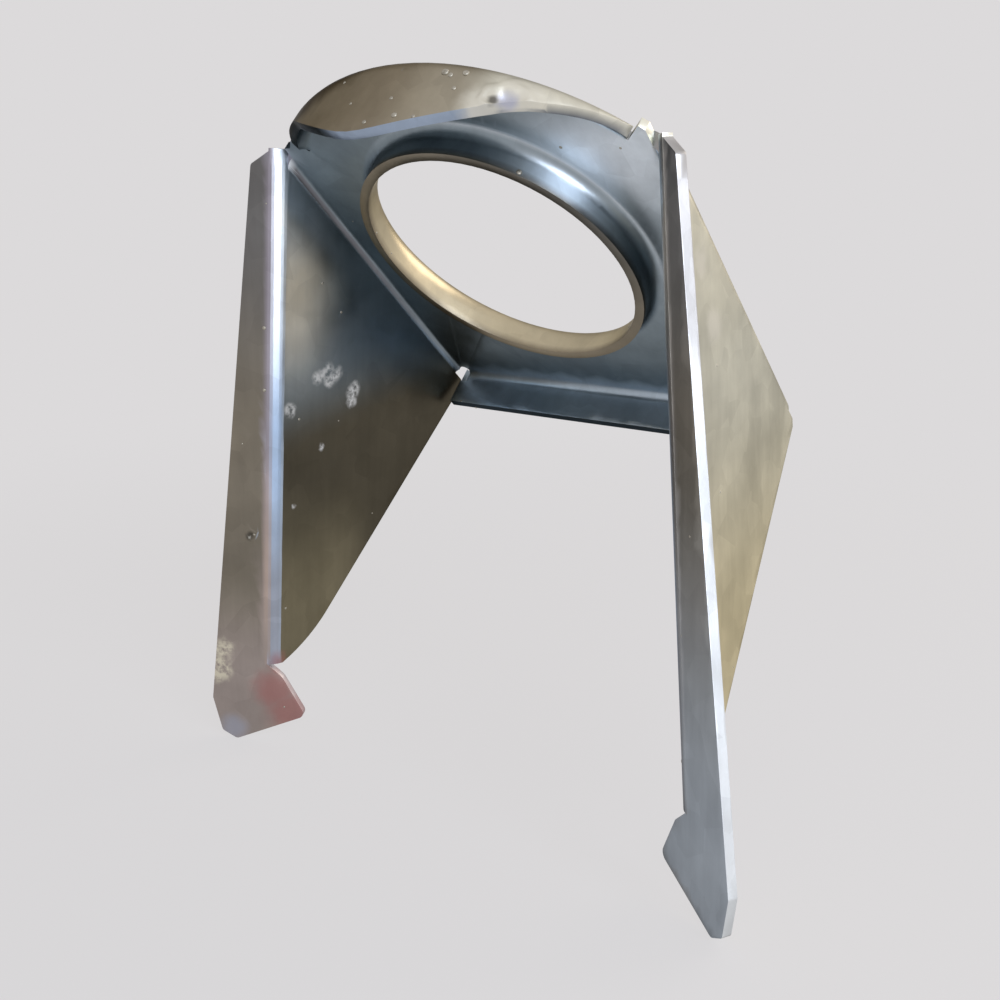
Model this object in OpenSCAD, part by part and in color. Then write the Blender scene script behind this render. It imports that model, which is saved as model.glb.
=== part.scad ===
// Spring seat bracket folded from one sheet of galvanised steel: a tilted seat plate with a collared
// hole, an arched hood lip, a far lip, two triangular side walls and two turned-out mounting flanges.
// Frame: origin at the centre of the collar's rim, +X to the right flange, -Y out of the open front,
// +Z up along the flanges. Millimetres and degrees.

/* [Sheet] */
// Thickness of the sheet
sheet_t = 3; // [2.5:0.5:4]
// Inside radius of the folds beside and behind the seat plate
fold_r = 3; // [2:0.5:4]
// Inside radius of the wide folds at the flanges and at the hood lip
wide_fold_r = 4.5; // [3:0.5:6]

/* [Seat plate] */
// Width between the side walls where they meet the seat plate
seat_w = 140; // [130:1:160]
// Depth of the seat plate from the flange line to the far lip
seat_d = 125; // [118:1:145]
// Angle between the seat plate and the flange line, seen along the side wall
seat_angle = 48; // [42:0.5:54]
// Rise of the arched front edge past the plate's corners
arch_rise = 30.5; // [24:0.5:34]
// Shift of the arch's middle towards the right flange
arch_shift = 2; // [0:0.5:4]

/* [Collar] */
// Outside diameter of the collar around the hole
collar_d = 98; // [80:1:104]
// Height of the collar's rim above the plate's inner face
collar_h = 9; // [7:0.5:14]
// Radius where the plate sweeps up into the collar
collar_sweep_r = 4; // [3:0.5:6]
// Distance from the flange line to the collar's centre
collar_in = 44; // [40:1:52]

/* [Lips] */
// Height of the arched hood lip at its middle
hood_h = 26; // [18:1:32]
// Height of the hood lip's edge above the plate's inner face at each end
hood_end_h = -1; // [-1:0.5:4]
// Half width of the hood lip's deeper middle
hood_mid = 41; // [30:1:50]
// Distance from each end of the hood lip to the fold beside it
hood_gap = 1.5; // [1.5:0.5:6]
// Width of the slit at each end of the hood lip
hood_slit = 0.8; // [0.6:0.1:1.4]
// Height of the far lip above the plate's inner face
far_lip_h = 14; // [10:1:22]
// Gap left between each end of the far lip and its side wall
far_lip_gap = 2; // [1.5:0.5:6]
// Diameter of the round relief at each far corner
relief_d = 5; // [4:0.5:6]

/* [Side walls] */
// Outward lean of each side wall
wall_lean = 6.7; // [3:0.1:9]
// Reach of each side wall's back edge past the far lip's fold, beside the seat plate
wall_past = 4.5; // [4:0.5:10]
// Further reach of the back edge where its swept end starts
wall_flare = 3.5; // [0:0.5:8]
// Radius of the swept end of the back edge at the flange
wall_sweep_r = 60; // [45:1:75]

/* [Flanges] */
// Angle through which each flange turns out of its wall
flange_turn = 55; // [45:1:70]
// Width of each flange at its top end
flange_top_w = 10; // [8.5:0.5:13]
// Width of each flange at its foot
flange_foot_w = 24; // [20:0.5:30]
// Length of each foot below the end of its wall
foot_l = 33; // [26:1:40]
// Reach of each foot inward past the fold
foot_in = 12.5; // [9:0.5:15]

/* [Hidden] */
$fn = 96;
// Length by which flat sheet runs into a fold, and the hair by which a fold is fuller than the sheet
lap = 0.6;
hair = 0.05;
// Length over which the hood edge is softened at its middle, and the cut at a wall's far corner
hood_soft = 8;
corner_cut = 2;
// Share of the hood edge's height that is an even slope, the rest being its deeper middle
hood_slope = 0.85;
// Outer radii of the two sorts of fold
fold_out = fold_r + sheet_t;
wide_out = wide_fold_r + sheet_t;
// Turn of the fold between the seat plate and a wall
wall_turn = 90 - wall_lean;
// Distance from a fold's sharp corner to where its flat sheet starts
wall_set = fold_r*tan(wall_turn/2);
flange_set = wide_out*tan(flange_turn/2);
// Tilt of the seat plate from the upright plane of the two flange lines
seat_tilt = atan(tan(seat_angle)*cos(wall_lean));
// Half width of the plate's flat part, reach of the hood lip's right end, and half width of the lip
flat_half = seat_w/2 - wall_set;
hood_reach = flat_half - hood_gap;
hood_half = hood_reach - arch_shift;
// Arc of the front edge, which unshifted would pass through the flat part's two corners
arch_r = (pow(flat_half, 2) + pow(arch_rise, 2))/(2*arch_rise);
arch_in = arch_r - arch_rise;
hood_sweep = asin(hood_half/arch_r);
slit_sweep = hood_sweep + asin(hood_slit/arch_r);
// Half length of the far lip
far_half = seat_w/2 - far_lip_gap;
// Centre of the round relief at the right far corner
relief_x = flat_half - relief_d*0.15;
relief_y = -seat_d + relief_d*0.3;
// Back edge of the side walls, and where it would meet the flange fold
back = seat_d + wall_past;
back_low = back + wall_flare;
// Swept end of the back edge, set so that it dies out at the flange fold
sweep_a = 24;
end_s = back_low - wall_sweep_r*(1 - cos(sweep_a));
end_z = (end_s*sin(seat_angle) - flange_set)/cos(seat_angle);
sweep_z = end_z - wall_sweep_r*sin(sweep_a);
// Length of the flange fold from the top corner to the end of its wall, and of the whole flange
fold_l = end_s*cos(seat_angle) + end_z*sin(seat_angle);
flange_l = fold_l + foot_l;

// Points of an arc
function arc(c, r, a0, a1, n) = [for (i = [0:n]) c + r*[cos(a0 + (a1 - a0)*i/n), sin(a0 + (a1 - a0)*i/n)]];

// Unit vector from one point to another
function unit(p, q) = (q - p)/norm(q - p);

// Points that round the corner at p between the points before and after it
function round_at(a, p, b, r) =
    let (u = unit(p, a), v = unit(p, b), half = acos(u*v)/2)
    let (m = unit([0, 0], u + v), c = p + m*r/sin(half))
    let (s = p + u*r/tan(half) - c, e = p + v*r/tan(half) - c)
    let (a0 = atan2(s[1], s[0]), a1 = atan2(e[1], e[0]))
    let (turn = a1 - a0 > 180 ? a1 - a0 - 360 : (a1 - a0 < -180 ? a1 - a0 + 360 : a1 - a0))
    arc(c, r, a0, a0 + turn, 8);

// Outline with every corner rounded by its own radius, where 0 leaves it sharp
function rounded(p, r) = let (n = len(p)) [
    for (i = [0:n - 1])
        for (q = r[i] > 0 ? round_at(p[(i + n - 1) % n], p[i], p[(i + 1) % n], r[i]) : [p[i]]) q
];

// Distance from the middle with its sharp corner at the middle softened
function soft(x) = sqrt(x*x + pow(hood_soft, 2)) - hood_soft;

// Height of the hood lip's free edge across the bracket: a sloping edge with a deeper middle
function hood_edge(x) = hood_end_h + (hood_h - hood_end_h)
    *(hood_slope*(1 - soft(x)/soft(hood_reach)) + (1 - hood_slope)*(1 - pow(min(1, abs(x)/hood_mid), 3)));

// A fold: a length of sheet bent about an axis along Z
module fold(inner, turn, length) {
    rotate_extrude(angle = turn)
        translate([inner - hair, 0])
            square([sheet_t + 2*hair, length]);
}

// Seat plate with its arched front edge, without the hole
module plate_flat() {
    translate([0, 0, -sheet_t])
        intersection() {
            translate([-flat_half - lap, -seat_d + fold_r - lap, 0])
                cube([2*(flat_half + lap), seat_d + arch_rise, sheet_t]);
            difference() {
                union() {
                    translate([-seat_w/2, -seat_d, 0])
                        cube([seat_w, seat_d, sheet_t]);
                    translate([arch_shift, -arch_in, 0])
                        cylinder(h = sheet_t, r = arch_r);
                }
                translate([arch_shift, -arch_in, -1])
                    rotate([0, 0, 90 - slit_sweep])
                        rotate_extrude(angle = 2*slit_sweep)
                            translate([arch_r - wide_out + lap, 0])
                                square([2*wide_out, sheet_t + 2]);
            }
        }
}

// Hood lip: the arched front edge folded up, cut to a crescent
module hood_lip() {
    n = 32;
    wide = hood_reach + sheet_t;
    edge = [for (i = [0:n]) let (x = -wide + 2*wide*i/n) [x, hood_edge(x)]];
    intersection() {
        translate([arch_shift, -arch_in, 0])
            rotate([0, 0, 90 - hood_sweep])
                rotate_extrude(angle = 2*hood_sweep)
                    union() {
                        intersection() {
                            translate([arch_r - wide_out, wide_fold_r])
                                difference() {
                                    circle(r = wide_out + hair);
                                    circle(r = wide_fold_r - hair);
                                }
                            translate([arch_r - wide_out, -sheet_t - 1])
                                square([2*wide_out, wide_out + 1]);
                        }
                        translate([arch_r - sheet_t, wide_fold_r - lap])
                            square([sheet_t, hood_h]);
                    }
        rotate([90, 0, 0])
            translate([0, 0, -seat_w])
                linear_extrude(height = 2*seat_w)
                    polygon(concat([[wide, -sheet_t - 1], [-wide, -sheet_t - 1]], edge));
    }
}

// Far lip: the back edge folded up
module far_lip() {
    translate([-far_half, -seat_d + fold_r, fold_r])
        rotate([0, 90, 0])
            rotate([0, 0, -90])
                fold(fold_r, 90, 2*far_half);
    translate([-far_half, -seat_d - sheet_t, fold_r - lap])
        cube([2*far_half, sheet_t, far_lip_h - fold_r + lap]);
}

// Collar swept up from the plate around the hole
module collar() {
    sweep_c = collar_d/2 + collar_sweep_r;
    rotate_extrude() {
        translate([collar_d/2 - sheet_t, collar_sweep_r])
            square([sheet_t, collar_h - collar_sweep_r]);
        intersection() {
            translate([sweep_c, collar_sweep_r])
                difference() {
                    circle(r = collar_sweep_r + sheet_t);
                    circle(r = collar_sweep_r);
                }
            translate([collar_d/2 - sheet_t, -sheet_t])
                square([collar_sweep_r + sheet_t, collar_sweep_r + sheet_t]);
        }
    }
}

// Places its children in the plane of the right wall: X outward, Z away from the seat plate
module at_wall() {
    translate([seat_w/2, 0, 0])
        rotate([0, wall_lean, 0])
            children();
}

// Places its children along the right flange line: Y out of the front, Z down the line
module at_flange_line() {
    at_wall()
        rotate([90 - seat_angle, 0, 0])
            children();
}

// Fold between the seat plate and the right wall
module wall_fold() {
    difference() {
        translate([flat_half, -seat_d + relief_d/2, fold_r])
            rotate([-90, 0, 0])
                rotate([0, 0, 90 - wall_turn])
                    fold(fold_r, wall_turn, seat_d);
        at_flange_line()
            translate([-seat_w/4, lap - flange_set, -seat_w/2])
                cube([seat_w/2, seat_w/2, seat_w]);
    }
}

// Right wall's flat sheet
module wall_flat() {
    low = wall_set - lap;
    front = flange_set - lap;
    top_s = (front + low*cos(seat_angle))/sin(seat_angle);
    outline = concat(
        [[-top_s, low], [-back + corner_cut, low], [-back, low + corner_cut]],
        [for (p = arc([back_low - wall_sweep_r, sweep_z], wall_sweep_r, 0, sweep_a, 12)) [-p[0], p[1]]],
        [[-end_s + lap*sin(seat_angle), end_z + lap*cos(seat_angle)]]
    );
    at_wall()
        rotate([90, 0, 90])
            linear_extrude(height = sheet_t)
                polygon(outline);
}

// Fold between the right wall and its flange
module flange_fold() {
    at_flange_line()
        translate([wide_out, -flange_set, 0])
            rotate([0, 0, 180 - flange_turn])
                fold(wide_fold_r, flange_turn, fold_l);
}

// Right flange's flat sheet with its foot
module flange_flat() {
    outline = rounded(
        [
            [flange_set - lap, 0.5],
            [flange_top_w, flange_top_w/2 + 0.5],
            [flange_foot_w, flange_l - foot_l*0.5],
            [flange_foot_w*0.84, flange_l - 3],
            [flange_foot_w*0.6, flange_l],
            [-foot_in, flange_l - foot_l*0.4],
            [-foot_in*0.25, fold_l + foot_l*0.14],
            [flange_set - lap, fold_l - 0.5]
        ],
        [0, 1.5, 3, 2, 2, 2.5, 4, 0]
    );
    at_flange_line()
        rotate([0, 0, -flange_turn])
            rotate([90, 0, 90])
                linear_extrude(height = sheet_t)
                    polygon(outline);
}

// Right wall with its two folds and its flange
module right_side() {
    wall_fold();
    wall_flat();
    flange_fold();
    flange_flat();
}

// Spring seat bracket, one folded sheet
module spring_seat_bracket() {
    color([0.58, 0.59, 0.6])
        rotate([90 + seat_tilt, 0, 0])
            translate([0, collar_in, -collar_h])
                union() {
                    difference() {
                        union() {
                            plate_flat();
                            hood_lip();
                            far_lip();
                            right_side();
                            mirror([1, 0, 0])
                                right_side();
                        }
                        translate([0, -collar_in, -sheet_t - 1])
                            cylinder(h = sheet_t + 2, r = collar_d/2 + collar_sweep_r);
                        for (side = [-1, 1])
                            translate([side*relief_x, relief_y, -sheet_t - 1])
                                cylinder(h = relief_d + sheet_t, d = relief_d);
                    }
                    translate([0, -collar_in, 0])
                        collar();
                }
}

spring_seat_bracket();
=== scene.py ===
# %% [markdown]
# # Spring seat bracket
# This lesson dresses a bracket that is folded from one sheet of steel and dipped in molten zinc.
# The shape comes from a imported CAD solid. Blender rounds the cut edges, adds the dents and the
# lumps of zinc, and gives the sheet the finish that the dip and some rough handling left on it,
# with painted shade, reflections and highlights laid into its colours.

# %% The imported solid
import math

import bmesh
import bpy
import numpy as np
from mathutils import Matrix, Vector, noise
from mathutils.bvhtree import BVHTree


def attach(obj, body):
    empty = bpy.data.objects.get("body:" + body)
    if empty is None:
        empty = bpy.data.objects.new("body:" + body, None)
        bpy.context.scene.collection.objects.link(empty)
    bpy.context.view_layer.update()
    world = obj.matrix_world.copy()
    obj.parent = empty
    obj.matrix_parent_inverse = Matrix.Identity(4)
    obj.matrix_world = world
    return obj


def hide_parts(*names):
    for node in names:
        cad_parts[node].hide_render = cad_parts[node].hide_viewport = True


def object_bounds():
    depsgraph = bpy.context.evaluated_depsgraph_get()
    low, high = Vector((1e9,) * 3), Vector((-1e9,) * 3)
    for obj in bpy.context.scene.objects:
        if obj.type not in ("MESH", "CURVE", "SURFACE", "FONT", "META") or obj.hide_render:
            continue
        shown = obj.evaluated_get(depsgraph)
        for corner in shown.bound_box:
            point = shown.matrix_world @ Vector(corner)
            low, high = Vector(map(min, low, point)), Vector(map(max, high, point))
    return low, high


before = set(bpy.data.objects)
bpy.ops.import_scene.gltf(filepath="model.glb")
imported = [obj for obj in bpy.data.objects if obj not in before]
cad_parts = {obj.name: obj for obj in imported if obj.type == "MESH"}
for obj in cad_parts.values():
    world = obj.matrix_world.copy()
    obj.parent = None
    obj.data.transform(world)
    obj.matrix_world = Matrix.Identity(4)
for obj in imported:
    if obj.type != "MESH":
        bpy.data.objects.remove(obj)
cad_box = [list(corner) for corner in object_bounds()]
MM = 0.001
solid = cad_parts["spring_seat_bracket"]
print("solid:", len(solid.data.polygons), "faces, box in mm:",
      [[round(c / MM, 1) for c in corner] for corner in cad_box])

# %% [markdown]
# ## Camera
# The camera stands to the right of the open front, level with the seat, and looks a little down.
# Its place and focal length were fitted to the fold lines of the sheet.
# A matrix made of the three axes says more plainly than angles do which way the camera faces.

# %% Camera
EYE_AT = Vector((222.27, -291.59, 19.65)) * MM
EYE_RIGHT = Vector((0.7957, 0.6057, 0.0018))
EYE_LOOK = Vector((-0.5854, 0.7697, -0.2547))
eye = bpy.data.cameras.new("eye")
eye.lens = 40.79
eye.sensor_width = 36.0
eye.clip_start = 0.01
eye_obj = bpy.data.objects.new("eye", eye)
bpy.context.scene.collection.objects.link(eye_obj)
look = EYE_LOOK.normalized()
up = EYE_RIGHT.normalized().cross(look).normalized()
eye_axes = Matrix((look.cross(up), up, -look)).transposed()
eye_obj.matrix_world = Matrix.Translation(EYE_AT) @ eye_axes.to_4x4()
bpy.context.scene.camera = eye_obj
print("camera at", [round(c, 3) for c in eye_obj.location])

# %% [markdown]
# ## The sheet
# A sheared edge is never a knife edge once zinc has flowed round it, so the sheet needs rounded
# edges, and its dents need points to move. A Bevel modifier on the CAD mesh would find only loose
# triangles, so a copy is merged, its flat faces are joined, and its sharp edges are bevelled.

# %% Rounded edges
MERGE = 0.08 * MM
FLAT = math.radians(0.3)
SHARP = math.radians(40)
ROUND = 0.4 * MM
sheet = bmesh.new()
sheet.from_mesh(solid.data)
bmesh.ops.remove_doubles(sheet, verts=sheet.verts[:], dist=MERGE)
bmesh.ops.dissolve_limit(sheet, angle_limit=FLAT, verts=sheet.verts[:], edges=sheet.edges[:],
                         use_dissolve_boundaries=False)
sharp = [e for e in sheet.edges if e.is_manifold and e.calc_face_angle() > SHARP]
rounded = bmesh.ops.bevel(sheet, geom=sharp, offset=ROUND, offset_type="OFFSET", segments=2,
                          profile=0.5, affect="EDGES", clamp_overlap=True)
sheet.normal_update()
print("rounded", len(sharp), "edges into", len(rounded["faces"]), "narrow faces")

# %% [markdown]
# Every part of the sheet has an inside, an outside and cut edges, each with its own zinc tones and
# painted light. A face belongs to a cut edge when the metal behind it is much deeper than the sheet
# is thick, measured from its largest triangle, since the middle of the seat's face lies in the hole.

# %% Cut edges
SIDE_IN, SIDE_OUT, SIDE_CUT = 1, 2, 3
SHEET_T = 3.0 * MM
DEEP = 1.6 * SHEET_T
UNDER_SKIN = 0.02 * MM
side = sheet.faces.layers.int.new("side")
skin = BVHTree.FromBMesh(sheet)
narrow = set(rounded["faces"])
sheet.faces.index_update()
largest = {}
for loops in sheet.calc_loop_triangles():
    a, b, c = (loop.vert.co for loop in loops)
    area = (b - a).cross(c - a).length
    if area >= largest.get(loops[0].face.index, (0.0, None))[0]:
        largest[loops[0].face.index] = (area, (a + b + c) / 3)
for face in sheet.faces:
    start = largest[face.index][1] - face.normal * UNDER_SKIN
    depth = skin.ray_cast(start, -face.normal)[3]
    if face in narrow or depth is None or depth > DEEP:
        face[side] = SIDE_CUT
print("cut faces:", sum(f[side] == SIDE_CUT for f in sheet.faces))

# %% [markdown]
# The other faces fall into two patches that touch only through the cut edges, one for each side.
# A walk from the seat's two faces over flats and folds finds them, and where a sliver stops the
# walk on a wall, a flange or the far lip, the way that the face looks settles its side.

# %% Inside and outside
SEAT_IN = Vector((0.0, -0.671657, -0.740862))
SEAT_UP = Vector((0.0, -0.740862, 0.671657))
FOLD_STEP = math.cos(math.radians(15))
SAME_WAY = 0.999
WALLS_FROM = 66 * MM
FAR_LIP_FROM = 60 * MM


def spread(first, value):
    """Marks every face that can be reached from the first over flats and folds alone."""
    todo = [first]
    while todo:
        face = todo.pop()
        if face[side]:
            continue
        face[side] = value
        todo.extend(f for e in face.edges for f in e.link_faces
                    if not f[side] and f.normal.dot(face.normal) > FOLD_STEP)


for value, way in ((SIDE_IN, SEAT_IN), (SIDE_OUT, -SEAT_IN)):
    faces = [f for f in sheet.faces if not f[side] and f.normal.dot(way) > SAME_WAY]
    spread(max(faces, key=lambda f: f.calc_area()), value)
for face in sheet.faces:
    middle = face.calc_center_median()
    if not face[side] and abs(middle.x) > WALLS_FROM:
        inward_way = -math.copysign(face.normal.x, face.normal.x * middle.x) - face.normal.y
        face[side] = SIDE_IN if inward_way > 0 else SIDE_OUT
    if not face[side] and middle.dot(SEAT_UP) < -FAR_LIP_FROM:
        face[side] = SIDE_IN if face.normal.dot(SEAT_UP) > 0 else SIDE_OUT
    face[side] = face[side] or SIDE_CUT
sides = [f[side] for f in sheet.faces]
print("faces inside, outside, cut:", [sides.count(k) for k in (SIDE_IN, SIDE_OUT, SIDE_CUT)])

# %% [markdown]
# Long edges are halved until the sheet is fine enough to carry tints, and then again where a dent
# will be. A Subdivision modifier would split every face alike, and waste points on the flat walls.

# %% Finer mesh
LONGEST = 7.0 * MM
COLLAR_LONGEST = 4.0 * MM
COLLAR_ZONE = 57 * MM
HALVINGS = 8
DENT_HALVINGS = 5
DENT_STEP = 0.14
DENT_REACH = 2
DENTS = (
    # centre, radius, depth and raised rim in mm: the knock in the hood, and a pit in the flange
    (Vector((39.3, -49.2, 44.5)), 5.2, 1.1, 0.5),
    (Vector((-89.7, -31.3, -98.4)), 1.7, 0.5, 0.12),
)


def halfway(edge):
    """The middle of an edge."""
    return (edge.verts[0].co + edge.verts[1].co) / 2


def limit(edge):
    """The longest that an edge may be: shorter around the collar, where the tints change fast."""
    middle = halfway(edge)
    at_collar = math.hypot(middle.x, middle.dot(SEAT_UP)) < COLLAR_ZONE
    return COLLAR_LONGEST if at_collar else LONGEST


def halve(edges):
    """Cuts edges in two and leaves only triangles."""
    bmesh.ops.subdivide_edges(sheet, edges=edges, cuts=1)
    bmesh.ops.triangulate(sheet, faces=[f for f in sheet.faces if len(f.verts) > 3])


bmesh.ops.triangulate(sheet, faces=sheet.faces[:])
for _ in range(HALVINGS):
    long_edges = [e for e in sheet.edges if e.calc_length() > limit(e)]
    if not long_edges:
        break
    halve(long_edges)
for centre, radius, depth, rim in DENTS:
    for _ in range(DENT_HALVINGS):
        halve([e for e in sheet.edges if e.calc_length() > DENT_STEP * radius * MM
               and (halfway(e) - centre * MM).length < DENT_REACH * radius * MM])
sheet.normal_update()
print("sheet:", len(sheet.faces), "triangles")

# %% [markdown]
# A dent pushes the skin in most at its middle and throws up a low rim around it, and a noise keeps
# its outline from being a true circle. Only the struck side moves, because a knock that marks the
# zinc rarely shows through 3 mm of steel.

# %% Dents
STRUCK_SIDE = 0.6
WOBBLE, WOBBLE_SIZE = 0.45, 0.9
RIM_AT, RIM_WIDTH = 1.05, 0.28
for centre, radius, depth, rim in DENTS:
    middle, normal = skin.find_nearest(centre * MM)[:2]
    moved = 0
    for vert in sheet.verts:
        far = (vert.co - middle).length / (radius * MM)
        if far > DENT_REACH or vert.normal.dot(normal) < STRUCK_SIDE:
            continue
        far *= 1 + WOBBLE * noise.noise(vert.co / (WOBBLE_SIZE * radius * MM))
        bowl = math.cos(min(far, 1.0) * math.pi / 2) ** 2
        ring = math.exp(-((far - RIM_AT) / RIM_WIDTH) ** 2)
        vert.co -= normal * (depth * bowl - rim * ring) * MM
        moved += 1
    print("dent of", 2 * radius, "mm moved", moved, "points")

# %% [markdown]
# The worked mesh now becomes an object. Its folds are shaded smooth, and an edge that turns by more
# than 32 degrees stays sharp. Flat shading would show every triangle, and smooth shading alone would
# blur the cut edges.

# %% The sheet as an object
KEEP_SHARP = math.radians(32)
bracket_mesh = bpy.data.meshes.new("folded_sheet")
sheet.to_mesh(bracket_mesh)
sheet.free()
bracket_mesh.polygons.foreach_set("use_smooth", [True] * len(bracket_mesh.polygons))
bracket_mesh.set_sharp_from_angle(angle=KEEP_SHARP)
bracket = bpy.data.objects.new("folded_sheet", bracket_mesh)
bpy.context.scene.collection.objects.link(bracket)
print("folded sheet:", len(bracket_mesh.vertices), "points")

# %% [markdown]
# ## Finish
# Hot-dip zinc is never one colour. Here painted light is laid into it too: painted slate shade on the
# inside, painted warm light in cream on the outside, and painted highlights along the bends. Those slow
# changes follow the folded sheet, so they are stored on the mesh as a colour attribute.
# The fine pattern on top of them is made of shader nodes, in Object coordinates.

# %% Tones


def linear(hex_colour):
    """sRGB hex to the linear values that shaders use."""
    values = [int(hex_colour[i:i + 2], 16) / 255 for i in (1, 3, 5)]
    return [v / 12.92 if v <= 0.04045 else ((v + 0.055) / 1.055) ** 2.4 for v in values]


# Many of these tones are painted light: shade, reflections and highlights that stand in for light falling on
# the sheet.
TONES = {name: np.array(linear(value)) for name, value in {
    "shaded slate": "#939FA6",
    "shaded slate wall": "#76838B",
    "far plate shade": "#7E898F",
    "fold shade": "#77787D",
    "blue reflection": "#D3DCE3",
    "olive": "#544F43",
    "olive low": "#7B745F",
    "tan reflection": "#FFF8E6",
    "flange grey": "#867F72",
    "flange grey top": "#767574",
    "highlight": "#F0F8FF",
    "highlight mid": "#AEC2DA",
    "highlight low": "#A4AAB6",
    "lilac reflection": "#A9A2AE",
    "pink reflection": "#C9B4A4",
    "right bend highlight": "#A29E9A",
    "right foot": "#A6AEB6",
    "left foot": "#A79C96",
    "warm light": "#E0DECE",
    "warm light low": "#E8DCB8",
    "warm lit bore": "#CDC1A4",
    "brown": "#8F8573",
    "brown mid": "#ADA593",
    "brown shadow": "#554D42",
    "hood pale": "#F2EFDF",
    "cut edge": "#CDCBC9",
    "highlight edge": "#E6EAEC",
    "hood edge": "#A6B5C9",
    "hood edge grey": "#7E848C",
    "rim edge": "#9C9280",
    "edge shade": "#3F464C",
    "far lip": "#C0CEDA",
}.items()}
print("tones:", ", ".join(TONES))

# %% [markdown]
# A tint needs to know where it is on the bracket. For each corner of each triangle, these lists
# give its place in mm and the way it faces: across from the middle, forward to the hood and above
# the seat, down and back from the top corners, round the collar, and out along a flange.
# Plain arrays do this for all corners at once, which a loop over the mesh would do slowly.

# %% Where each corner lies
corners = len(bracket_mesh.loops)
at = np.zeros(len(bracket_mesh.vertices) * 3)
bracket_mesh.vertices.foreach_get("co", at)
of_corner = np.zeros(corners, int)
bracket_mesh.loops.foreach_get("vertex_index", of_corner)
at = at.reshape(-1, 3)[of_corner] / MM
facing = np.zeros(corners * 3)
bracket_mesh.corner_normals.foreach_get("vector", facing)
facing = facing.reshape(-1, 3)
which = np.zeros(len(bracket_mesh.polygons), int)
bracket_mesh.attributes["side"].data.foreach_get("value", which)
which = np.repeat(which, 3)[:, None]
print("corners:", corners)

# %% Measures along the folded sheet
# In mm: the walls' top front corner, half the width between the walls and how far they lean out
# for each mm down, the way that a flange faces, the seat's inner face, and the middle of the arch.
APEX_Y, APEX_Z = -26.5, 36.2
WALL_HALF = 70
WALL_SPREAD = 0.087
FLANGE_IN_X, FLANGE_IN_Y = 0.5, 0.86
SEAT_FACE = -9
ARCH_X, ARCH_FORWARD = 2, -15.1
x = at[:, 0]
hand = np.sign(x)
on_left, on_right = x < 0, x > 0
across = np.abs(x)
forward = at @ np.array(SEAT_UP)
above = at @ np.array(SEAT_IN)
down = APEX_Z - at[:, 2]
back = at[:, 1] - APEX_Y
from_axis = np.hypot(x, forward)
turn = np.degrees(np.arctan2(forward, x))
flange_out = (across - WALL_HALF - WALL_SPREAD * down) / FLANGE_IN_Y
lip_h = above - SEAT_FACE
from_arch = np.hypot(x - ARCH_X, forward - ARCH_FORWARD)
faces_in = facing @ np.array(SEAT_IN)
faces_up = facing @ np.array(SEAT_UP)
faces_front = -facing[:, 1]
faces_out = facing[:, 0] * hand
print("sheet runs", round(down.max()), "mm down and", round(back.max()), "mm back from its corners")

# %% [markdown]
# Each side of the sheet starts from one tone, and other tones are laid over it in order. A mask says
# how much of a tone each corner takes. Two curves make every mask: a ramp from one limit to another,
# in mm or as the part of a normal, and a hump around a middle.

# %% Masks of the inside


def ramp(value, low, high):
    """0 below low, 1 above high, smooth between."""
    part = np.clip((value - low) / (high - low), 0, 1)
    return part * part * (3 - 2 * part)


def near(value, middle, reach):
    """1 at the middle, falling off smoothly over the reach."""
    return np.exp(-((value - middle) / reach) ** 2)


def over(tint, layers):
    """Lays tones over a tint in order, each by its own amount at every corner."""
    for name, amount in layers:
        tint = tint + (TONES[name] - tint) * amount[:, None]
    return tint


plate = ramp(faces_in, 0.9, 0.99)
# painted reflection: a bright patch near the top right of the seat plate
plate_gleam = near(x, 52, 22) * near(forward, 36, 18) * plate
# painted shade in the crease between the seat plate and each wall
plate_fold = ramp(across, 65.5, 67.5) * ramp(faces_in, 0.3, 0.5) * (1 - ramp(faces_in, 0.75, 0.92))
plate_fold = plate_fold * (1 - ramp(above, -5, 0)) * ramp(back, 2, 6)
wall = ramp(-faces_out, 0.75, 0.95) * ramp(across, 66, 69)
flange_face = FLANGE_IN_Y * faces_front - FLANGE_IN_X * faces_out
flange = ramp(flange_face, 0.93, 0.995) * ramp(across, 70, 74)
flange = np.maximum(flange, ramp(flange_out, 6, 8))
at_bend = ramp(across, 66, 70) * (1 - ramp(back, 3, 6)) * (1 - ramp(flange_out, 5, 8))
bend = at_bend * ramp(faces_front, 0.14, 0.34) * (1 - ramp(faces_front, 0.7, 0.86))
flange_side = at_bend * ramp(faces_front, 0.62, 0.8) * (1 - ramp(flange_out, 3.4, 5.8))
# where a painted blue reflection goes on the outside of the collar
collar_side = ramp(above, -9, -6) * (1 - ramp(from_axis, 50, 53))
# painted highlight: a thin bright line along the fillet at the foot of the collar
fillet_highlight = near(from_axis, 52.2, 0.8) * near(turn, 48, 48) * ramp(-above, 2, 7)
print("masks cover, in corners:", {name: int((mask > 0.5).sum()) for name, mask in (
    ("wall", wall), ("flange", flange), ("bend", bend), ("plate fold", plate_fold))})
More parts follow.
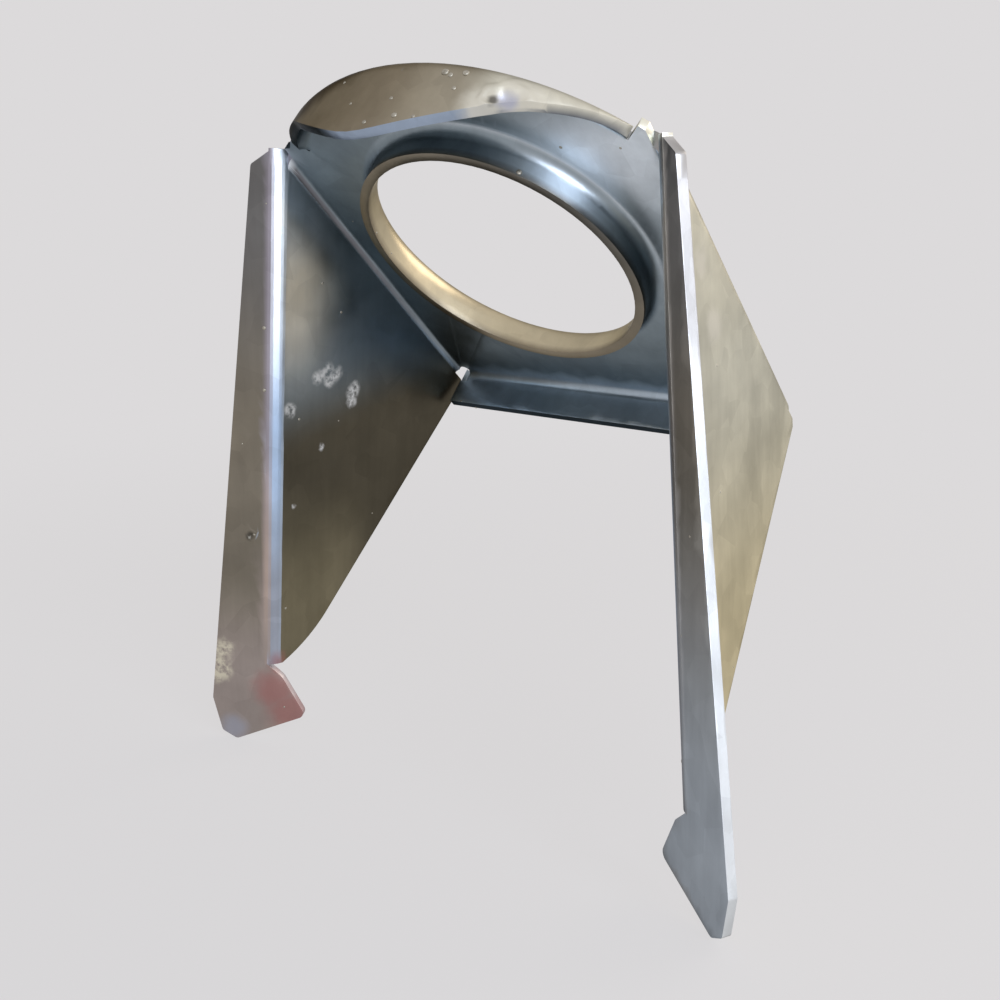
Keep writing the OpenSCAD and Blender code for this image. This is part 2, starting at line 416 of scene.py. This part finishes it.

# %% Tints of the inside
# The inside starts from painted slate shade, which stands in for the dark surroundings that the inner faces
# mirror.
inside = over(np.tile(TONES["shaded slate"], (corners, 1)), (
    # painted blue reflection and painted highlight on the seat plate
    ("blue reflection", plate_gleam),
    ("highlight", 0.7 * plate_gleam),
    # painted shade over the far part of the seat plate
    ("far plate shade", plate * ramp(-forward, 36, 56)),
    # painted slate shade on the inner faces of the walls
    ("shaded slate wall", wall),
    # painted blue reflection high on the front of each wall
    ("blue reflection", wall * near(down, 14, 26) * near(back, 2, 16)),
    ("olive", wall * ramp(down + 0.25 * back, 72, 106)),
    ("olive low", wall * ramp(down, 112, 160) * (1 - ramp(back, 26, 52))),
    # painted reflection: a pale tan patch high on the front of each wall
    ("tan reflection", wall * near(down, 51, 19) * near(back, 7, 14)),
    # painted shade in the fold, lighter further back
    ("fold shade", plate_fold * (1 - 0.7 * ramp(back, 35, 80))),
    # the flanges are grey-brown, darker towards the top
    ("flange grey", flange),
    ("flange grey top", flange * (1 - ramp(down, 20, 95))),
    # painted highlights along the bends, white at the top, bluer lower down and greyer near the feet
    ("highlight", bend),
    ("highlight mid", bend * ramp(down, 45, 95)),
    ("highlight low", bend * ramp(down, 110, 165)),
    # painted reflections on the left bend beside its highlight, lilac and lower down pink, and a painted
    # highlight on the right bend
    ("lilac reflection", 0.8 * flange_side * on_left),
    ("pink reflection", 0.8 * flange_side * on_left * ramp(down, 90, 150)),
    ("right bend highlight", flange_side * on_right),
    ("right foot", flange * ramp(down, 60, 190) * on_right),
    ("left foot", flange * ramp(down, 150, 190) * on_left),
    # painted blue reflection on the outside of the collar
    ("blue reflection", 0.75 * collar_side * near(turn, 38, 26)),
    # painted highlight along the collar's fillet
    ("highlight", fillet_highlight),
    ("far lip", ramp(-forward, 74, 78) * (1 - ramp(across, 64, 67))),
))
print("inside tinted, mean tone", [round(c, 3) for c in inside.mean(axis=0)])

# %% [markdown]
# The outside is painted cream for the warm light on it, and so is the collar's bore. The hood lip goes
# from brown on the left to pale on the right, with a painted shadow on its left flank. The cut edges
# carry painted highlights and reflections, and painted shade around the seat. The colour is stored for
# each corner of each triangle and not for each point, so that two sides that meet at an edge keep their own
# tones.

# %% Tints of the outside and of the cut edges
hood = ramp(faces_up, 0.2, 0.5) * ramp(forward, 20, 40)
# painted warm light: the outside starts from cream
outside = over(np.tile(TONES["warm light"], (corners, 1)), (
    ("hood pale", hood * ramp(x, 28, 40)),
    ("brown mid", hood * (1 - ramp(x, 26, 38))),
    ("brown", hood * (1 - ramp(x, 4, 26))),
    ("brown shadow", hood * ramp(-x - 2.5 * (lip_h - 4), 4, 24)),
    # more painted warm light lower on the outer faces of the walls
    ("warm light low", ramp(faces_out, 0.8, 0.95) * ramp(down, 60, 150)),
    # painted warm light inside the collar's bore
    ("warm lit bore", 1 - ramp(from_axis, 50, 56)),
))
seat_edge = 1 - ramp(across, 69, 72)
hood_edge = seat_edge * ramp(forward, 30, 36)
# painted reflections on the cut edges, pale, and light blue along the hood, with a painted highlight lower
# down
cut = over(np.tile(TONES["cut edge"], (corners, 1)), (
    ("highlight edge", ramp(down, 30, 110)),
    # painted shade on the cut edges round the seat, left standing at the hood's left end
    ("edge shade", seat_edge),
    ("hood edge", hood_edge * ramp(x, -16, -3)),
    ("hood edge grey", hood_edge * ramp(x, 30, 40)),
    ("hood pale", hood_edge * ramp(x, 34, 42) * ramp(from_arch, 87.3, 87.9)),
    ("hood pale", hood_edge * ramp(x, 60, 64)),
))
collar_rim = (1 - ramp(from_axis, 50, 51)) * ramp(above, -1.0, -0.5)
tint = over(np.where(which == SIDE_IN, inside, np.where(which == SIDE_OUT, outside, cut)), (
    # painted shade on the collar's rim, darkest on its upper right
    ("rim edge", collar_rim),
    ("edge shade", 0.7 * collar_rim * near(turn, 30, 65)),
))
# The colour attribute holds the zinc's own tone together with the painted shade, reflections and highlights
# laid over it.
zinc_tone_and_light = bracket_mesh.color_attributes.new("zinc_tone_and_light", "FLOAT_COLOR", "CORNER")
zinc_tone_and_light.data.foreach_set("color", np.column_stack([tint, np.ones(corners)]).ravel())
print("tinted", corners, "corners")

# %% [markdown]
# Materials and Geometry Nodes are trees of nodes. They can be put together by hand in the editor,
# but a script can be read from top to bottom and run again. A few helpers keep it short: one adds a
# node and feeds its inputs, and the others make the nodes that come up most.

# %% Node helpers


def feed(tree, node, values):
    """Links each socket, and sets each plain value, to the node's input of that name or number."""
    for name, value in values.items():
        if isinstance(value, bpy.types.NodeSocket):
            tree.links.new(value, node.inputs[name])
        else:
            node.inputs[name].default_value = value


def add(tree, kind, values=None, **settings):
    """Adds a node, sets its properties and feeds its inputs."""
    node = tree.nodes.new(kind)
    for name, value in settings.items():
        setattr(node, name, value)
    feed(tree, node, values or {})
    return node


def maths(tree, operation, *values):
    """A Math node's result from sockets and numbers."""
    return add(tree, "ShaderNodeMath", dict(enumerate(values)), operation=operation).outputs[0]


def noise_of(tree, spot, size_mm, detail, roughness=0.5):
    """A noise whose blotches are about as large as the size given."""
    return add(tree, "ShaderNodeTexNoise", {"Vector": spot, "Scale": 1 / (size_mm * MM), "Detail": detail,
                                            "Roughness": roughness}).outputs


def between(tree, value, low, high, start=0.3, stop=0.7):
    """Stretches a noise, which seldom leaves 0.3 to 0.7, over the range from low to high."""
    return add(tree, "ShaderNodeMapRange", {"Value": value, "From Min": start, "From Max": stop,
                                            "To Min": low, "To Max": high}).outputs["Result"]


def rgba(hex_colour):
    """A tone as a colour input takes it, with an alpha of 1."""
    return (*linear(hex_colour), 1.0)


print("node helpers: feed, add, maths, noise_of, between, rgba")

# %% [markdown]
# The zinc itself is a metal with a soft sheen. It froze in broad crystals, the spangle, some 9 mm
# across on thick sheet, and it has a fine orange-peel grain from the dip. Spangle comes from a
# Voronoi pattern and grain from noise, both scaled in millimetres. An image would need unwrapped
# faces, and these patterns need only the place of a point.

# %% Galvanised steel
SPANGLE = 9 * MM
DRAWN = (4 * MM, 4 * MM, 45 * MM)
zinc = bpy.data.materials.new("hot_dip_zinc")
zinc.use_nodes = True
tree = zinc.node_tree
spot = add(tree, "ShaderNodeTexCoord").outputs["Object"]
tone = add(tree, "ShaderNodeAttribute", attribute_name="zinc_tone_and_light").outputs["Color"]
spangle = add(tree, "ShaderNodeTexVoronoi", {"Vector": spot, "Scale": 1 / SPANGLE, "Randomness": 1.0})
crystal = add(tree, "ShaderNodeSeparateColor", {"Color": spangle.outputs["Color"]}).outputs["Red"]
crystal = maths(tree, "MULTIPLY_ADD", crystal, 0.10, 0.95)
cloud = between(tree, noise_of(tree, spot, 38, 4.0)["Fac"], 0.85, 1.14)
along = add(tree, "ShaderNodeMapping", {"Vector": spot, "Scale": [1 / size for size in DRAWN]})
streak = add(tree, "ShaderNodeTexNoise", {"Vector": along.outputs["Vector"], "Scale": 1.0, "Detail": 4.0,
                                          "Roughness": 0.6})
streak = between(tree, streak.outputs["Fac"], 0.95, 1.05)
worn = maths(tree, "MULTIPLY", maths(tree, "MULTIPLY", crystal, cloud), streak)
mottled = add(tree, "ShaderNodeVectorMath", {0: tone, "Scale": worn}, operation="SCALE").outputs[0]
print("zinc pattern:", len(tree.nodes), "nodes")

# %% [markdown]
# Handling left its own marks: white scuffs inside the left wall, a rough bright patch and a smear of
# red paint on the left foot, and pale zinc around the knock and on the right wall. The dents get
# painted light: a painted reflection in the knock, and painted shade in it and in the pit of the left
# flange. Each is a set of balls in Object coordinates that colour what they touch. Noise pushes their
# borders about, and a finer noise breaks the scuffs into flecks.

# %% Marks
HALF = (0.5, 0.5, 0.5)
CORE = 0.25
sway = add(tree, "ShaderNodeVectorMath", {0: noise_of(tree, spot, 5, 3.0)["Color"], 1: HALF},
           operation="SUBTRACT").outputs[0]
flecks = between(tree, noise_of(tree, spot, 2.2, 3.0, 0.6)["Fac"], 0.0, 1.0, 0.34, 0.58)


def mark(colour, hex_tone, strength, wobble, flecked, balls):
    """Mixes a tone into a colour inside balls of (x, y, z, radius) in mm. Returns colour and mask."""
    moved = add(tree, "ShaderNodeVectorMath", {0: sway, "Scale": wobble * MM}, operation="SCALE").outputs[0]
    place = add(tree, "ShaderNodeVectorMath", {0: spot, 1: moved}, operation="ADD").outputs[0]
    mask = 0.0
    for *centre, radius in balls:
        gap = add(tree, "ShaderNodeVectorMath", {0: place, 1: [c * MM for c in centre]}, operation="DISTANCE")
        ball = add(tree, "ShaderNodeMapRange", {
            "Value": gap.outputs["Value"], "From Min": radius * MM, "From Max": CORE * radius * MM,
            "To Max": strength}, interpolation_type="SMOOTHSTEP")
        mask = maths(tree, "MAXIMUM", mask, ball.outputs["Result"])
    if flecked:
        mask = maths(tree, "MULTIPLY", mask, flecks)
    mixed = add(tree, "ShaderNodeMix", {"Factor": mask, "A": colour, "B": rgba(hex_tone)}, data_type="RGBA")
    return mixed.outputs["Result"], mask


MARKS = {
    # tone, strength, wobble in mm, whether it is flecked, and the balls
    "scuffs": ("#E2E4E4", 1.0, 3.5, True, (
        (-75.1, -8.7, -41.7, 3.6), (-74.8, -6.2, -40.4, 3.6), (-75.1, -3.3, -43.1, 4.0),
        (-74.7, -3.6, -39.0, 3.8), (-75.0, -0.6, -41.5, 4.0), (-75.7, 7.6, -52.5, 3.2),
        (-75.4, 8.2, -49.7, 4.0), (-75.3, 8.6, -48.0, 3.8), (-77.2, -20.9, -52.0, 3.6),
        (-77.5, -6.4, -67.9, 2.0), (-80.2, -18.5, -87.9, 1.5))),
    "bright patch": ("#F0EAD2", 0.75, 6.0, True, (
        (-105.8, -37.9, -152.1, 8.5), (-103.4, -36.9, -144.5, 6.5))),
    "red paint": ("#A96B64", 0.62, 5.0, False, (
        (-86.8, -26.4, -160.1, 12.0), (-81.7, -22.9, -169.0, 15.0), (-84.5, -25.2, -150.0, 6.5))),
    "foot tip": ("#A4AABB", 0.6, 3.0, False, ((-102.0, -35.0, -177.0, 8.0),)),
    "pale zinc": ("#EFECDF", 0.8, 6.0, False, (
        (75.2, 1.6, -14.0, 7.5), (75.0, -6.0, 4.0, 6.0), (34.2, -52.6, 42.6, 8.5), (42.6, -47.4, 44.4, 9.0))),
    # painted reflection in the middle of the knock
    "knock reflection": ("#C9CCDD", 0.9, 3.0, False, ((39.9, -48.9, 44.2, 4.2),)),
    # painted shade in the knock and in the pit of the left flange
    "dent shade": ("#4B4842", 0.8, 2.5, False, ((36.4, -50.4, 44.6, 2.1), (-90.0, -31.5, -98.4, 2.3))),
}
colour = mottled
masks = {}
for name, how in MARKS.items():
    colour, masks[name] = mark(colour, *how)
print("marks:", {name: len(how[-1]) for name, how in MARKS.items()}, "balls")

# %% [markdown]
# Paint is duller than zinc and not a metal, so its mask also changes the sheen. Zinc seen at a
# grazing angle would shine white at every edge, and a grey Specular Tint holds that back.

# %% Sheen
GRAIN = 0.15 * MM
painted = masks["red paint"]
rough = between(tree, noise_of(tree, spot, 14, 3.0)["Fac"], 0.3, 0.42)
grain = add(tree, "ShaderNodeBump", {"Height": noise_of(tree, spot, 1.3, 2.0)["Fac"], "Strength": 0.12,
                                     "Distance": GRAIN})
feed(tree, tree.nodes["Principled BSDF"], {
    "Base Color": colour,
    "Roughness": maths(tree, "MULTIPLY_ADD", painted, 0.25, rough),
    "Metallic": maths(tree, "MULTIPLY_ADD", painted, -0.5, 1.0),
    "Specular Tint": rgba("#9C9A96"),
    "Normal": grain.outputs["Normal"],
})
bracket_mesh.materials.append(zinc)
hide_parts("spring_seat_bracket")
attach(bracket, "root")
print("zinc:", len(tree.nodes), "nodes")

# %% [markdown]
# ## Zinc pimples
# Drops and dross froze onto the sheet as it left the bath: a row of lumps along the hood lip and a
# few small ones anywhere. They are alike and follow a surface, so Geometry Nodes set them: listed
# points and points strewn over the sheet each take one flattened ball, turned to the surface.

# %% Frozen zinc
dross = bpy.data.materials.new("frozen_zinc_dross")
dross.use_nodes = True
tree = dross.node_tree
blotch = noise_of(tree, add(tree, "ShaderNodeTexCoord").outputs["Object"], 1.5, 2.0)["Fac"]
dross_tone = add(tree, "ShaderNodeMix", {"Factor": blotch, "A": rgba("#7F786A"), "B": rgba("#CFCABC")},
                 data_type="RGBA")
feed(tree, tree.nodes["Principled BSDF"], {
    "Base Color": dross_tone.outputs["Result"], "Metallic": 1.0, "Roughness": 0.5})
print("dross material:", len(tree.nodes), "nodes")

# %% Points for pimples
tree = bpy.data.node_groups.new("zinc_pimples", "GeometryNodeTree")
pimple_inputs = {}
for name, kind in (("Places", "Geometry"), ("Sheet", "Object"), ("Per square metre", "Float"),
                   ("Smallest radius", "Float"), ("Largest radius", "Float"), ("Flatness", "Float"),
                   ("Seed", "Int")):
    pimple_inputs[name] = tree.interface.new_socket(name, in_out="INPUT", socket_type="NodeSocket" + kind)
tree.interface.new_socket("Pimples", in_out="OUTPUT", socket_type="NodeSocketGeometry")
given = add(tree, "NodeGroupInput").outputs
ground = add(tree, "GeometryNodeObjectInfo", {"Object": given["Sheet"]}).outputs["Geometry"]
strewn = add(tree, "GeometryNodeDistributePointsOnFaces", {
    "Mesh": ground, "Density": given["Per square metre"], "Seed": given["Seed"]}).outputs
size = add(tree, "FunctionNodeRandomValue", {
    "Min": given["Smallest radius"], "Max": given["Largest radius"], "Seed": given["Seed"]},
    data_type="FLOAT").outputs["Value"]
sized = add(tree, "GeometryNodeStoreNamedAttribute", {
    "Geometry": strewn["Points"], "Name": "pimple_size", "Value": size}, data_type="FLOAT").outputs[0]
turned = add(tree, "GeometryNodeStoreNamedAttribute", {
    "Geometry": sized, "Name": "way", "Value": strewn["Normal"]}, data_type="FLOAT_VECTOR").outputs[0]
chosen = add(tree, "GeometryNodeMeshToPoints", {"Mesh": given["Places"]}).outputs[0]
points = add(tree, "GeometryNodeJoinGeometry")
for some in (turned, chosen):
    tree.links.new(some, points.inputs["Geometry"])
print("points for pimples:", len(tree.nodes), "nodes")

# %% Balls on the points
radius = add(tree, "GeometryNodeInputNamedAttribute", {"Name": "pimple_size"}, data_type="FLOAT").outputs[0]
way = add(tree, "GeometryNodeInputNamedAttribute", {"Name": "way"}, data_type="FLOAT_VECTOR").outputs[0]
flattened = add(tree, "ShaderNodeCombineXYZ", {
    "X": radius, "Y": radius, "Z": maths(tree, "MULTIPLY", radius, given["Flatness"])}).outputs[0]
aim = add(tree, "FunctionNodeAlignRotationToVector", {"Vector": way}, axis="Z").outputs[0]
ball = add(tree, "GeometryNodeMeshIcoSphere", {"Radius": 1.0, "Subdivisions": 2}).outputs["Mesh"]
balls = add(tree, "GeometryNodeInstanceOnPoints", {
    "Points": points.outputs[0], "Instance": ball, "Rotation": aim, "Scale": flattened}).outputs[0]
balls = add(tree, "GeometryNodeRealizeInstances", {"Geometry": balls}).outputs[0]
balls = add(tree, "GeometryNodeSetShadeSmooth", {"Geometry": balls}).outputs[0]
balls = add(tree, "GeometryNodeSetMaterial", {"Geometry": balls, "Material": dross}).outputs[0]
add(tree, "NodeGroupOutput", {"Pimples": balls})
print("pimple tree:", len(tree.nodes), "nodes")

# %% [markdown]
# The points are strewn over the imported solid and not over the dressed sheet. Away from the rounded
# edges and the dents the two have the same surface, but triangulating can number the faces of the
# sheet anew in each run, and the strewn points follow that numbering.

# %% Pimples
CHOSEN_PIMPLES = (
    # place and radius in mm: along the hood lip, on the left flange and on the collar
    (4.5, -64.5, 39.8, 0.7), (13.1, -62.2, 41.3, 0.9), (18.9, -61.4, 40.8, 0.6), (8.9, -58.6, 45.9, 0.6),
    (25.6, -52.9, 47.9, 0.7), (26.4, -48.9, 51.8, 1.0), (20.7, -50.5, 52.3, 1.1), (22.6, -50.6, 51.4, 0.8),
    (-79.4, -29.1, -22.5, 0.7), (-81.1, -29.0, -44.2, 0.7), (-88.6, -31.0, -98.0, 0.7),
    (28.7, -28.6, 27.6, 0.9),
)
places = bpy.data.meshes.new("zinc_pimples")
seats = [bracket.closest_point_on_mesh(Vector(row[:3]) * MM) for row in CHOSEN_PIMPLES]
places.from_pydata([seat[1] for seat in seats], [], [])
sizes = places.attributes.new("pimple_size", "FLOAT", "POINT")
sizes.data.foreach_set("value", [row[3] * MM for row in CHOSEN_PIMPLES])
ways = places.attributes.new("way", "FLOAT_VECTOR", "POINT")
ways.data.foreach_set("vector", np.ravel([seat[2] for seat in seats]))
pimples = bpy.data.objects.new("zinc_pimples", places)
bpy.context.scene.collection.objects.link(pimples)
setter = pimples.modifiers.new("zinc_pimples", "NODES")
setter.node_group = tree
for name, value in (("Sheet", solid), ("Per square metre", 600.0), ("Smallest radius", 0.25 * MM),
                    ("Largest radius", 0.55 * MM), ("Flatness", 0.4), ("Seed", 11)):
    setter[pimple_inputs[name].identifier] = value
evaluated = pimples.evaluated_get(bpy.context.evaluated_depsgraph_get())
frozen = bpy.data.meshes.new_from_object(evaluated)
pimples.modifiers.remove(setter)
pimples.data = frozen
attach(pimples, "root")
print("pimples:", len(frozen.polygons), "triangles")

# %% [markdown]
# ## Studio
# The bracket is shown against one pale grey. The floor and the world show that grey to the camera
# and to reflections, so the metal mirrors it, and the floor keeps some of the real shadow.

# %% Floor
STUDIO = "#DCDADB"
FLOOR_Z = cad_box[0][2] - 0.5 * MM
FLOOR_SIZE = 8.0
SHADOW_FROM, SHADOW_TO = 0.18, 0.75


def seen_directly(tree):
    """1 for rays from the camera, from gloss and through glass, 0 for diffuse light."""
    path = add(tree, "ShaderNodeLightPath").outputs
    gloss = maths(tree, "MAXIMUM", path["Is Camera Ray"], path["Is Glossy Ray"])
    return maths(tree, "MAXIMUM", gloss, path["Is Transmission Ray"])


def mixed_shader(tree, factor, first, second):
    """A Mix Shader of two shader nodes."""
    return add(tree, "ShaderNodeMixShader", {0: factor, 1: first.outputs[0], 2: second.outputs[0]})


bpy.ops.mesh.primitive_plane_add(size=FLOOR_SIZE, location=(0, 0, FLOOR_Z))
floor = bpy.context.object
floor.name = "studio_floor"
paper = bpy.data.materials.new("matt_paper")
paper.use_nodes = True
tree = paper.node_tree
tree.nodes.remove(tree.nodes["Principled BSDF"])
glow = add(tree, "ShaderNodeEmission", {"Color": rgba(STUDIO), "Strength": 0.86})
matt = add(tree, "ShaderNodeBsdfDiffuse", {"Color": (0.12, 0.12, 0.12, 1.0)})
shaded = add(tree, "ShaderNodeAddShader", {0: glow.outputs[0], 1: matt.outputs[0]})
unshaded = add(tree, "ShaderNodeEmission", {"Color": rgba(STUDIO), "Strength": 1.0})
here = add(tree, "ShaderNodeTexCoord").outputs["Object"]
reach = add(tree, "ShaderNodeVectorMath", {0: here}, operation="LENGTH").outputs["Value"]
away = add(tree, "ShaderNodeMapRange", {"Value": reach, "From Min": SHADOW_FROM, "From Max": SHADOW_TO},
           interpolation_type="SMOOTHSTEP").outputs["Result"]
plain = add(tree, "ShaderNodeBsdfDiffuse", {"Color": rgba(STUDIO)})
shown = mixed_shader(tree, seen_directly(tree), plain, mixed_shader(tree, away, shaded, unshaded))
tree.links.new(shown.outputs[0], tree.nodes["Material Output"].inputs["Surface"])
floor.data.materials.append(paper)
print("floor at", round(FLOOR_Z / MM, 1), "mm")

# %% [markdown]
# The world fills the shadows with soft light and shows the same grey beyond the floor. It mixes two
# backgrounds, because one that is bright enough to look at would light the metal too much.

# %% World
world = bpy.data.worlds.new("pale_room")
bpy.context.scene.world = world
world.use_nodes = True
tree = world.node_tree
tree.nodes.remove(tree.nodes["Background"])
fill = add(tree, "ShaderNodeBackground", {"Color": rgba(STUDIO), "Strength": 0.6})
backdrop = add(tree, "ShaderNodeBackground", {"Color": rgba(STUDIO), "Strength": 1.0})
room = mixed_shader(tree, seen_directly(tree), fill, backdrop)
tree.links.new(room.outputs[0], tree.nodes["World Output"].inputs["Surface"])
print("world:", len(tree.nodes), "nodes")

# %% [markdown]
# Two soft boxes light the metal: a cool one from the right, like the window that the bends mirror,
# and a warm one from behind and above. Large lamps give the broad, soft gleams that zinc shows.

# %% Lamps
LIT_SPOT = (0, 0, -0.05)


def soft_box(name, place, size, power, colour):
    """Adds a rectangular lamp that faces the bracket and that the camera doesn't see."""
    lamp = bpy.data.lights.new(name, "AREA")
    lamp.shape = "RECTANGLE"
    lamp.size, lamp.size_y = size
    lamp.energy = power
    lamp.color = linear(colour)
    obj = bpy.data.objects.new(name, lamp)
    bpy.context.scene.collection.objects.link(obj)
    way = (Vector(place) - Vector(LIT_SPOT)).normalized()
    obj.rotation_euler = way.to_track_quat("Z", "Y").to_euler()
    obj.location = place
    obj.visible_camera = False
    print("lamp", name, power, "W")


soft_box("window", (0.9, -0.5, 0.25), (0.8, 0.9), 9.0, "#E4EEFF")
soft_box("warm_back", (0.5, 0.9, 0.5), (0.9, 0.7), 4.5, "#FFF0DE")

# %% [markdown]
# ## View
# The colours are shown as they are written, so the view transform is Standard.

# %% Finish
bpy.context.scene.view_settings.view_transform = "Standard"
